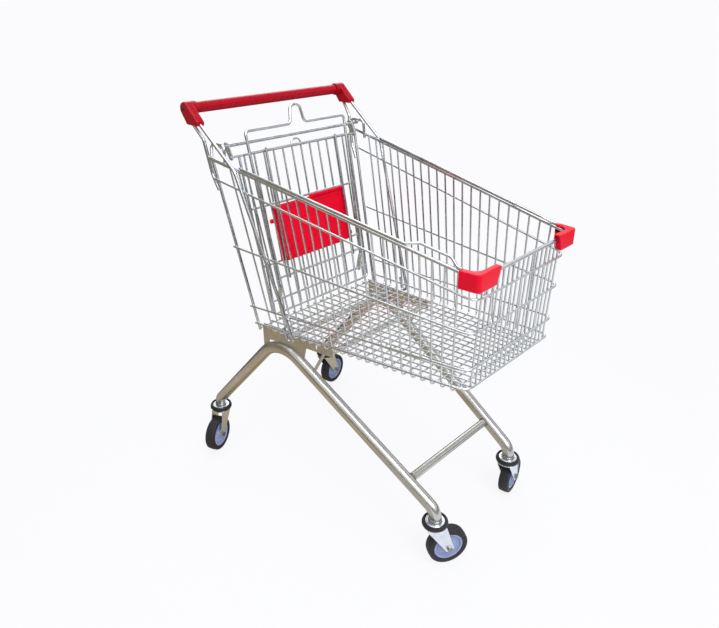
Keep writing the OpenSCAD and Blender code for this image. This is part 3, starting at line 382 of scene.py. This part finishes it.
def black_polyamide():
    """Glass filled polyamide of the collars: near black, satin, with a fine speckled mould grain."""
    base = tuple(colours().collar)
    skin = dict(patch_mm=14, rough=(0.34, 0.52), grain_mm=0.7, grain_um=6)
    return coat("black_polyamide", base, shade(base, 1.6), **skin, Specular_IOR_Level=0.4)[0]


def tyre_rubber():
    """Grey black elastomer tread: matt, dusted paler where it has rolled, with a fine mould texture."""
    base = tuple(colours().tyre)
    dust = shade(base, 1.5, (1.0, 0.98, 0.95))
    skin = dict(patch_mm=16, rough=(0.46, 0.68), grain_mm=0.8, grain_um=8)
    return coat("tread_elastomer", base, dust, **skin, Specular_IOR_Level=0.4)[0]


def hub_polypropylene():
    """Moulded polypropylene of the hubs: a milky blue grey, satin, with soft flow marks."""
    base = tuple(colours().hub)
    skin = dict(patch_mm=22, rough=(0.28, 0.44), grain_mm=0.9, grain_um=3)
    return coat("hub_polypropylene", base, shade(base, 0.9), **skin, Specular_IOR_Level=0.4)[0]


def wear(finish, *names):
    """Puts a finish on CAD nodes."""
    for name in names:
        mesh = NODES[name].data
        mesh.materials.clear()
        mesh.materials.append(finish)


class CART_OT_wirework(bpy.types.Operator):
    """Plates the basket, the flap, the child seat's frame and the stays"""

    bl_idname = "cart.wirework"
    bl_label = "Wirework"

    def execute(self, context):
        wear(
            zinc_wire(),
            *"basket_rim rim_rails upper_band middle_band lower_band bottom_band".split(),
            *"right_side_wires left_side_wires front_wires floor_long_wires floor_cross_wires".split(),
            *"right_rear_post left_rear_post hinge_rod".split(),
            *"right_front_stay left_front_stay right_rear_stay left_rear_stay".split(),
            *"flap_top_bar flap_frame flap_uprights flap_cross_wires".split(),
            *"seat_back_frame seat_back_cross_wires seat_back_uprights".split(),
        )
        wear(pressed_zinc(), "flap_ears", "seat_back_links")
        return {"FINISHED"}


class CART_OT_frame_tubes(bpy.types.Operator):
    """Plates the legs and tubes and lays the weld beads"""

    bl_idname = "cart.frame_tubes"
    bl_label = "Legs and tubes"

    def execute(self, context):
        wear(zinc_tube(), *"right_leg left_leg front_cross_tube under_tubes leg_braces handle_tube".split())
        wear(zinc_sheet(), "right_side_plate", "left_side_plate")
        low, high = box("front_cross_tube")
        middle, radius = (low + high) / 2, (high[2] - low[2]) / 2
        joint = high[1] - 0.0035
        beads = [bead(middle + Y * side * joint, X, Z, radius, radius, Y) for _, side in SIDES]
        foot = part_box("foot_plates")[1][2]
        leg_half = 0.0155, 0.0135
        for corner in CORNERS:
            x, y, _ = JOINTS[corner + "_swivel"]["pos_m"]
            beads.append(bead((x, y, foot), X, Y, *leg_half, Z))
        piece("weld_beads", beads, weld_metal(), "cart", "tube")
        return {"FINISHED"}


class CART_OT_casters(bpy.types.Operator):
    """Builds the wheels, forks, collars and foot plates"""

    bl_idname = "cart.casters"
    bl_label = "Casters"

    def execute(self, context):
        tread, centre, steel, bolt = tyre_rubber(), hub_polypropylene(), pressed_zinc(), bolt_steel()
        for corner in CORNERS:
            swivel = np.array(JOINTS[corner + "_swivel"]["pos_m"])
            hub_at, axis = (np.array(JOINTS[corner + "_roll"][k]) for k in ("pos_m", "axis"))
            ahead = (hub_at - swivel) * (1, 1, 0)
            trail = np.linalg.norm(ahead)
            ahead /= trail
            for name, profile, finish, node in (
                ("_tread", self.tyre_profile(), tread, "tyre"),
                ("_wheel_centre", self.hub_profile(), centre, "hub"),
            ):
                wheel = [turned(profile, hub_at, axis, 128)]
                piece(corner + name, wheel, finish, corner + "_wheel", node, corner + "_" + node)
            self.fork(corner, swivel, hub_at, ahead, trail, steel)
            wear(bolt, corner + "_axle")
        wear(bolt, "kingpins")
        self.collars()
        return {"FINISHED"}

    def tyre_profile(self):
        """The tread's section, as (radius, height along the axle): flat sides with a shallow groove,
        shoulders of the crown's radius and a slightly domed running face."""
        crown = sizes().tyre_crown
        side = [(0.0362, 0.0125), (0.0375, 0.0139), (0.0408, 0.0140), (0.0414, 0.0132), (0.0422, 0.0132)]
        side += [(0.0428, 0.0138), (0.0490, 0.0130)]
        corners = side + [(0.0500, 0.0)]
        corners += [(r, -w) for r, w in side[::-1]]
        cut, dome = [0.0008, 0.0012, 0.0004, 0.0004, 0.0004, 0.0004, crown], 0.002
        return fillet(corners, np.array(cut + [dome] + cut[::-1]), 8)

    def hub_profile(self):
        """A boss round the axle, a dished web, two raised rings and the flange that carries the tread."""
        half = [(0.0042, 0.0149), (0.0098, 0.0149), (0.0112, 0.0120), (0.0125, 0.0078), (0.0225, 0.0062)]
        half += [(0.0240, 0.0078), (0.0262, 0.0078), (0.0272, 0.0064), (0.0300, 0.0072), (0.0312, 0.0116)]
        half += [(0.0330, 0.0122), (0.0362, 0.0122)]
        return fillet(half + [(r, -w) for r, w in half[::-1]], 0.0012, 5)

    def fork(self, corner, swivel, hub_at, ahead, trail, steel):
        """Two broad tapering sheet legs under a turned disc with a raised ball race."""
        top = box(corner + "_fork")[1][2]
        sheet, inner, edge = sizes().fork_thickness, 0.0155, 0.0009
        out = np.cross(Z, ahead)
        base = np.array([swivel[0], swivel[1], 0.0])
        shoulder, bend, boss = top - 0.004, 0.002, 0.011
        leg = hull_outline([(trail, hub_at[2], boss), (-0.022, shoulder, bend), (0.022, shoulder, bend)], 96)
        shells = [
            slab(leg, near, near + sheet, edge, base, ahead, Z, out) for near in (-inner - sheet, inner)
        ]
        disc = [(0.0061, -0.0030), (0.0272, -0.0030), (0.0281, -0.0018), (0.0281, 0.0), (0.0240, 0.0)]
        disc += [(0.0225, 0.0003), (0.0061, 0.0003)]
        shells.append(turned(fillet(disc, 0.0008, 4), base + Z * top, Z, 72))
        piece(corner + "_pressed_fork", shells, steel, corner + "_caster", "plated_steel", corner + "_fork")

    def collars(self):
        """Black buffers with a rolled upper edge round a sunk plate."""
        low, high = box("caster_collars")
        plate_low, plate_high = box("foot_plates")
        seat, tall, thick = plate_low[2] - low[2], high[2] - low[2], plate_high[2] - plate_low[2]
        ring = [(0.0061, 0.0), (0.0285, 0.0), (0.0310, 0.0035), (0.0310, tall - 0.005), (0.0285, tall)]
        ring += [(0.0256, tall), (0.0242, tall - 0.003), (0.0242, seat), (0.0061, seat)]
        cut = np.array([0.0004, 0.002, 0.004, 0.005, 0.003, 0.002, 0.001, 0.0002, 0.0002])
        plate = [(0.0061, 0.0), (0.0239, 0.0), (0.0239, thick - 0.0012), (0.0225, thick), (0.0061, thick)]
        rings, plates = [], []
        for corner in CORNERS:
            x, y, _ = JOINTS[corner + "_swivel"]["pos_m"]
            rings.append(turned(fillet(ring, cut, 6), (x, y, low[2]), Z))
            plates.append(turned(fillet(plate, 0.0008, 5), (x, y, plate_low[2]), Z))
        piece("collar_buffers", rings, black_polyamide(), "cart", "collar", "caster_collars")
        piece("sunk_foot_plates", plates, pressed_zinc(), "cart", "plated_steel", "foot_plates")


class CART_OT_handle(bpy.types.Operator):
    """Builds the grip and the two moulded handle ends"""

    bl_idname = "cart.handle"
    bl_label = "Handle"

    def execute(self, context):
        pvc = handle_pvc()
        low, high = box("handle_grip")
        axis = (low + high) / 2
        radius, half = (high[2] - low[2]) / 2, high[1]
        edge = sizes().grip_edge
        groove_at, groove_width, groove_depth = 0.0105, 0.0012, 0.0005

        def grip_radius(t):
            """Constant, less a quarter round of the edge's size at the ends and two shallow grooves."""
            y = np.minimum(t, 1 - t) * 2 * half
            away = np.clip(1 - y / edge, 0, 1)
            groove = np.exp(-(((y - groove_at) / groove_width) ** 2))
            return radius - edge * (1 - np.sqrt(1 - away**2)) - groove_depth * groove

        grip = bar(grip_radius, axis - Y * half, axis + Y * half, 64)
        piece("handle_sleeve", [grip], pvc, "cart", "red_plastic", "handle_grip")
        at = np.array([axis[0], 0, axis[2]])
        outline = self.end_outline()
        screws = []
        for name, side in SIDES:
            outer = np.abs(box(name + "_handle_end"))[:, 1].max()
            out = Y * side
            foot = slab(outline, outer - sizes().end_thickness, outer, 0.0035, at, X, Z, out)
            stop = outer - 0.006
            sleeve = [(0.0100, half), (0.0150, half), (0.0155, half + 0.0012), (0.0155, stop), (0.0100, stop)]
            collar = turned(fillet(sleeve, 0.0012, 5), at, out, 72)
            piece(name + "_handle_cap", [foot, collar], pvc, "cart", "red_plastic", name + "_handle_end")
            head = [(0.0, -0.003), (0.0052, -0.003), (0.0052, 0.0), (0.0044, 0.0009), (0.0022, 0.0009)]
            head += [(0.0020, -0.0006), (0.0, -0.0006)]
            screws.append(turned(fillet(head, 0.0004, 4), at + out * outer, out, 48))
        piece("handle_screws", screws, black_polyamide(), "cart", "fastener")
        return {"FINISHED"}

    def end_outline(self):
        """A handle end seen from its side: the band round the handle's disc and a foot in front of it and
        below it, with small round corners."""
        handle_r, corner_r, half_height = 0.0155, 0.004, 0.006
        half_length = sizes().end_length / 2 - corner_r
        reach, drop = sizes().end_reach, sizes().end_drop
        foot = [
            (reach + dx * half_length, dz, corner_r)
            for dx in (-1, 1)
            for dz in (-drop - half_height + corner_r, -drop + half_height - corner_r)
        ]
        return hull_outline([(0, 0, handle_r)] + foot, 120)


class CART_OT_bumpers(bpy.types.Operator):
    """Builds the two moulded corner bumpers"""

    bl_idname = "cart.bumpers"
    bl_label = "Bumpers"

    def execute(self, context):
        finish = red_abs()
        for name, side in SIDES:
            points = self.corner(name + "_bumper", side)
            piece(name + "_corner_bumper", [shell(points)], finish, "cart", "red_plastic", name + "_bumper")
        return {"FINISHED"}

    def corner(self, node, side):
        """A C section with a slot for the rim, carried along the front wing, round the corner and along the
        side wing. A section point at offset o outside the mesh turns the corner on a radius that shrinks
        evenly from the inner face to the outer one, about the point where the two walls, moved outwards by
        o less that radius, meet. At both ends the section shrinks by a quarter round."""
        low, high = box(node)
        # Inner face outside the wires' middle, its corner's radius, and the side wall's slope in plan.
        inner, inner_r, taper = 0.0023, 0.0205, 0.10349
        outer = inner + sizes().bumper_depth
        # The point where the middles of the front wall and the side wall meet.
        wall_half = 0.168
        wall = np.array([high[0] - outer, wall_half])
        rake = math.hypot(1, taper)
        # The slot for the rim: its two heights and its depth.
        seat_low, seat_high, seat = 0.756, 0.7685, 0.0104
        section = [(outer, low[2]), (outer, high[2]), (inner, high[2]), (inner, seat_high), (seat, seat_high)]
        section += [(seat, seat_low), (inner, seat_low), (inner, low[2])]
        edge = sizes().bumper_edge
        cut = np.array([edge, edge, edge / 2, 0.0008, 0.0015, 0.0015, 0.0008, edge / 2])
        section = fillet(section, cut, 6)
        # Distance of each station from the nearer end, and which part of the path it is on.
        near = np.concatenate([edge * (1 - np.cos(np.linspace(0, math.pi / 2, 6))), [0.008, 0.016]])
        bends = 20
        gap = np.concatenate([near, np.full(bends, 1.0), near[::-1]])[:, None]
        inset = edge * (1 - np.sqrt(1 - np.clip(1 - gap / edge, 0, 1) ** 2))
        ring = section[None] - inset[..., None] * normals(section)[None]
        offset, height = ring[..., 0], ring[..., 1]
        radius = inner_r + (offset - inner) / (outer - inner) * (sizes().bumper_round - inner_r)
        away = offset - radius
        centre = wall + np.stack([away, away * (rake - taper)], -1)
        last = math.pi / 2 - math.atan(taper)
        angle = np.concatenate([np.zeros(len(near)), np.linspace(0, last, bends), np.full(len(near), last)])
        plan = centre + radius[..., None] * np.stack([np.cos(angle), np.sin(angle)], -1)[:, None]
        mid = wall[1] + outer * (rake - taper) - sizes().bumper_front
        mid = mid + sizes().bumper_slant * (high[2] - height) / (high[2] - low[2])
        rear = high[0] - sizes().bumper_side
        k = len(near)
        plan[:k, :, 1] = mid[:k] + gap[:k]
        run = plan[-k:, :, 0] - (rear + gap[-k:])
        plan[-k:] += run[..., None] * np.array([-1, taper])
        return np.concatenate([plan * np.array([1, side]), height[..., None]], -1)


class CART_OT_seat_plate(bpy.types.Operator):
    """Builds the child seat's moulded plate with its lip and hinge lugs"""

    bl_idname = "cart.seat_plate"
    bl_label = "Seat plate"

    def execute(self, context):
        hinge = np.array(JOINTS["seat_plate_fold"]["pos_m"])
        lean = math.radians(11.7)
        out, up = X * math.cos(lean) + Z * math.sin(lean), Z * math.cos(lean) - X * math.sin(lean)
        half, low, tall, back = 0.122, -0.002, 0.139, 0.0036
        front, edge = back + sizes().plate_thickness, sizes().plate_edge

        def panel(left, right, foot, head, corner_r, near, far, rounding):
            """A rounded panel in the plate's own plane, from depth near to depth far in front of the hinge."""
            discs = [(y, z, corner_r) for y in (left + corner_r, right - corner_r)
                     for z in (foot + corner_r, head - corner_r)]
            return slab(hull_outline(discs, 96), near, far, rounding, hinge, Y, up, out)

        lip = back + 0.001, front + 0.003, 0.0022
        stud = back + 0.0005, front - 0.0005, edge
        rib = back + 0.001, front + 0.0014, 0.0012
        shells = [
            panel(-half, half, low, tall, 0.006, back, front, edge),
            panel(-half, half, tall - 0.012, tall, 0.0055, *lip),
            panel(0.004, half, tall - 0.008, tall + 0.005, 0.004, *lip),
            panel(-half - 0.013, -half + 0.01, 0.098, 0.098 + 0.011, 0.004, *stud),
            panel(half - 0.01, half + 0.014, 0.008, 0.008 + 0.011, 0.004, *stud),
            panel(-half, -half + 0.006, low + 0.002, tall - 0.002, 0.0028, *rib),
            panel(half - 0.006, half, low + 0.002, tall - 0.002, 0.0028, *rib),
        ]
        lug, lug_pitch = [(0.00305, -0.012), (0.00605, -0.012), (0.00605, 0.012), (0.00305, 0.012)], 0.03
        for place in np.arange(-3, 4) * lug_pitch:
            shells.append(turned(fillet(lug, 0.0008, 4), hinge + Y * place, Y, 48))
        piece("moulded_seat_plate", shells, red_abs(), "seat_plate", "red_plastic", "seat_plate")
        return {"FINISHED"}


class CART_OT_stage(bpy.types.Operator):
    """Sets the floor, the reflecting cards, the lamps and the camera"""

    bl_idname = "cart.stage"
    bl_label = "Stage"

    def execute(self, context):
        self.world()
        self.floor()
        self.cards()
        self.lamps()
        self.camera()
        context.scene.view_settings.view_transform = "Standard"
        return {"FINISHED"}

    def seen(self, tree):
        """1 for rays that look at the background: from the camera, off metal and through glass."""
        path = add(tree, "ShaderNodeLightPath").outputs
        share = path["Is Camera Ray"]
        for ray in ("Is Glossy Ray", "Is Transmission Ray"):
            share = add(tree, "ShaderNodeMath", {0: share, 1: path[ray]}, operation="MAXIMUM").outputs[0]
        return share

    def world(self):
        """Soft even light all round, which looks like white paper."""
        world = bpy.data.worlds.new("studio")
        bpy.context.scene.world = world
        world.use_nodes = True
        tree = world.node_tree
        tree.nodes.clear()
        soft = add(tree, "ShaderNodeBackground", {"Color": (*linear("#EEF2FA"), 1), "Strength": 0.55})
        white = add(tree, "ShaderNodeBackground", {"Color": (*linear("#FBFBFD"), 1), "Strength": 1.0})
        looks = {0: self.seen(tree), 1: soft.outputs[0], 2: white.outputs[0]}
        mixed = add(tree, "ShaderNodeMixShader", looks)
        add(tree, "ShaderNodeOutputWorld", {"Surface": mixed.outputs[0]})

    def flat(self, name, points, material):
        """A stage surface over a grid of points[u, v]."""
        nu, nv = points.shape[:2]
        i = np.arange(nu * nv).reshape(nu, nv)
        quads = np.stack([i[:-1, :-1], i[1:, :-1], i[1:, 1:], i[:-1, 1:]], -1).reshape(-1, 4)
        mesh = bpy.data.meshes.new(name)
        mesh.from_pydata(points.reshape(-1, 3), [], quads.tolist())
        mesh.materials.append(material)
        obj = bpy.data.objects.new(name, mesh)
        bpy.context.scene.collection.objects.link(obj)
        return obj

    def floor(self):
        """White paper that keeps a tenth of its shading under the cart, where the shadow lies, and none two
        metres away, where it runs into the background."""
        material = bpy.data.materials.new("white_paper_floor")
        material.use_nodes = True
        tree = material.node_tree
        tree.nodes.clear()
        paper = add(tree, "ShaderNodeBsdfDiffuse", {"Color": (*linear("#F2F2F4"), 1)})
        white = add(tree, "ShaderNodeEmission", {"Color": (*linear("#FBFBFD"), 1), "Strength": 1.0})
        place = add(tree, "ShaderNodeTexCoord").outputs["Object"]
        away = add(tree, "ShaderNodeVectorMath", {0: place}, operation="LENGTH").outputs["Value"]
        reach = {"From Min": 0.6, "From Max": 2.2, "To Min": 0.9, "To Max": 1.0}
        fade = add(tree, "ShaderNodeMapRange", {"Value": away, **reach}).outputs["Result"]
        share = add(tree, "ShaderNodeMath", {0: self.seen(tree), 1: fade}, operation="MULTIPLY").outputs[0]
        mixed = add(tree, "ShaderNodeMixShader", {0: share, 1: paper.outputs[0], 2: white.outputs[0]})
        add(tree, "ShaderNodeOutputMaterial", {"Surface": mixed.outputs[0]})
        side = np.linspace(-30, 30, 3)
        x, y = np.meshgrid(side, side, indexing="ij")
        self.flat("floor", np.stack([x, y, np.zeros_like(x)], -1), material)

    def cards(self):
        """Cards that only metal sees: a beige board on the floor under and beside the cart, a paler one under
        its front, a dark one on the floor beyond it, a wall at its right, a grey ceiling and a dark band all
        round far away, which give the plating the warm sides and the dark edge lines of a real room."""
        def level(xs, ys, height):
            """A level card between two x and two y."""
            x, y = np.meshgrid(xs, ys, indexing="ij")
            return np.stack([x, y, np.full_like(x, height)], -1)

        def spread(us, u_axis, vs, v_axis):
            """A card over u u_axis + v v_axis, between two u and two v."""
            u, v = np.meshgrid(us, vs, indexing="ij")
            return u[..., None] * np.array(u_axis) + v[..., None] * np.array(v_axis)

        seam = 0.04
        board, front = (level(xs, [-3.5, 0.7], 0.0015) for xs in ([-3.5, seam], [seam, 0.36]))
        beyond = spread([0.6, 4.5], [-0.687, 0.727, 0], [-4.0, 4.0], [0.727, 0.687, 0]) + 0.003 * Z
        wall = spread([0.0, 3.4], Z, [-3.0, 2.2], [0.66, -0.75, 0]) - np.array([2.6, 2.3, 0])
        ceiling = level([-4.5, 4.5], [-4.5, 4.5], 4.4)
        angle, far, tall = np.linspace(0, 2 * math.pi, 97)[:, None], 5, 1.3
        ring = np.stack([far * np.cos(angle), far * np.sin(angle), 0 * angle], -1)
        for name, code, points in (
            ("beige_card", "#BDB096", board),
            ("pale_card", "#CDC8BD", front),
            ("dark_floor_card", "#50565F", beyond),
            ("wall_card", "#948A74", wall),
            ("ceiling_card", "#A9AFB7", ceiling),
            ("dark_card", "#30343C", np.concatenate([ring, ring + tall * Z], 1)),
        ):
            material = bpy.data.materials.new(name)
            material.use_nodes = True
            material.cycles.emission_sampling = "NONE"
            tree = material.node_tree
            tree.nodes.clear()
            glow = add(tree, "ShaderNodeEmission", {"Color": (*linear(code), 1), "Strength": 1.0})
            if name == "beige_card":
                tree.links.new(self.stripes(tree), glow.inputs["Color"])
            add(tree, "ShaderNodeOutputMaterial", {"Surface": glow.outputs[0]})
            card = self.flat(name, points, material)
            card.visible_camera = card.visible_diffuse = False
            card.visible_shadow = card.visible_transmission = False

    def stripes(self, tree):
        """Light and shade across the beige board at the cart's right, by the distance from its middle, which
        an oval tube shows as streaks along it."""
        first, last = -1.4, 0.2
        place = add(tree, "ShaderNodeTexCoord")
        across = add(tree, "ShaderNodeSeparateXYZ", {0: place.outputs["Object"]}).outputs["Y"]
        share = add(tree, "ShaderNodeMapRange", {"Value": across, "From Min": first, "From Max": last})
        ramp = add(tree, "ShaderNodeValToRGB", {"Fac": share.outputs["Result"]})
        stops = ramp.color_ramp.elements
        stops[0].color, stops[1].color = (*linear("#9C8F74"), 1), (*linear("#BDB096"), 1)
        for at, code in (
            (-0.85, "#B0A387"),
            (-0.5, "#DAD2C0"),
            (-0.33, "#B9AB8D"),
            (-0.24, "#A39373"),
            (0.0, "#BDB096"),
        ):
            stops.new((at - first) / (last - first)).color = (*linear(code), 1)
        return ramp.outputs["Color"]

    def lamps(self):
        """A large soft lamp over the front of the cart, and weaker ones behind it and above it."""
        for name, place, target, power, width in (
            ("front_lamp", (2.1, -0.7, 2.6), (0, 0, 0.5), 62, 1.8),
            ("rear_lamp", (-1.8, 1.9, 2.4), (0, 0, 0.6), 22, 2.0),
            ("top_lamp", (0.0, -0.3, 3.2), (0, 0, 0.4), 40, 2.4),
        ):
            lamp = bpy.data.lights.new(name, "AREA")
            lamp.energy, lamp.size = power, width
            obj = bpy.data.objects.new(name, lamp)
            bpy.context.scene.collection.objects.link(obj)
            back = np.array(place, float) - np.array(target, float)
            self.aim(obj, place, -back / np.linalg.norm(back))

    def aim(self, obj, place, ahead):
        """Turns an object so that it looks along ahead with its own up as close to Z as it can be."""
        ahead = np.asarray(ahead, float) / np.linalg.norm(ahead)
        right = np.cross(ahead, Z) if abs(ahead[2]) < 0.999 else X
        right = right / np.linalg.norm(right)
        turn = np.eye(4)
        turn[:3, 0], turn[:3, 1], turn[:3, 2], turn[:3, 3] = right, np.cross(right, ahead), -ahead, place
        obj.matrix_world = Matrix(turn.tolist())

    def camera(self):
        """The photograph's view: a 32 mm lens over the cart's right front."""
        data = bpy.data.cameras.new("camera")
        data.lens, data.sensor_width = 32.02, 36.0
        data.dof.use_dof = False
        obj = bpy.data.objects.new("camera", data)
        bpy.context.scene.collection.objects.link(obj)
        self.aim(obj, (0.98897, -1.08575, 1.21546), (-0.61512, 0.65120, -0.44448))
        bpy.context.scene.camera = obj


class CART_PT_panel(bpy.types.Panel):
    """Lists the steps that build the cart"""

    bl_idname = "CART_PT_panel"
    bl_label = "Shopping cart"
    bl_space_type = "VIEW_3D"
    bl_region_type = "UI"
    bl_category = "Cart"

    def draw(self, context):
        """The steps first, then every size and colour."""
        for step in STEPS:
            self.layout.operator(step.bl_idname)
        for group in (context.scene.cart_sizes, context.scene.cart_colours):
            for name in group.bl_rna.properties.keys():
                if name not in ("rna_type", "name"):
                    self.layout.prop(group, name)


STEPS = (
    CART_OT_stage,
    CART_OT_wirework,
    CART_OT_frame_tubes,
    CART_OT_casters,
    CART_OT_handle,
    CART_OT_bumpers,
    CART_OT_seat_plate,
)
CLASSES = (CartSizes, CartColours, *STEPS, CART_PT_panel)


def register():
    """Makes the steps, the panel and the settings known."""
    for cls in CLASSES:
        bpy.utils.register_class(cls)
    bpy.types.Scene.cart_sizes = bpy.props.PointerProperty(type=CartSizes)
    bpy.types.Scene.cart_colours = bpy.props.PointerProperty(type=CartColours)


def unregister():
    """Takes them away again."""
    del bpy.types.Scene.cart_colours
    del bpy.types.Scene.cart_sizes
    for cls in reversed(CLASSES):
        bpy.utils.unregister_class(cls)


def main():
    """Runs every step."""
    register()
    for step in STEPS:
        group, name = step.bl_idname.split(".")
        getattr(getattr(bpy.ops, group), name)()


if __name__ == "__main__":
    main()
